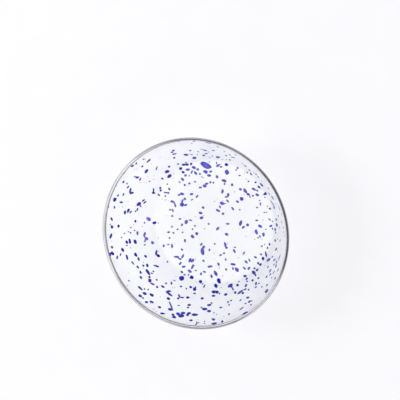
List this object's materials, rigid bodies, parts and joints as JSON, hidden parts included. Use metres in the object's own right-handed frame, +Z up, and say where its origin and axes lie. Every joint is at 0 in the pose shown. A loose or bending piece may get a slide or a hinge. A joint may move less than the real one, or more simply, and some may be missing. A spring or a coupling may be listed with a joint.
{
  "type": "enamel soup bowl",
  "caption": "Round deep soup bowl in white splattered enamel on pressed steel, with a flat floor, flaring wall and a polished steel rim band.",
  "frame": {"origin": "centre of the standing ring, on the surface that the bowl stands on", "axes": "+Z up along the bowl's axis of rotation, +X and +Y square to it with no front"},
  "size_m": [0.16, 0.16, 0.062],
  "materials": {
    "white_enamel": "glossy white vitreous enamel with deep blue splatter flecks fused into it",
    "ground_enamel": "dark blue-black ground coat, hidden under the cover coat",
    "shell_steel": "pressed low-carbon enamelling steel, hidden between the coats",
    "band_steel": "polished stainless steel"
  },
  "bodies": {
    "root": {"inside_cover_coat": "white_enamel", "inside_ground_coat": "ground_enamel", "steel_shell": "shell_steel", "outside_ground_coat": "ground_enamel", "outside_cover_coat": "white_enamel", "rim_band": "band_steel"}
  },
  "joints": []
}
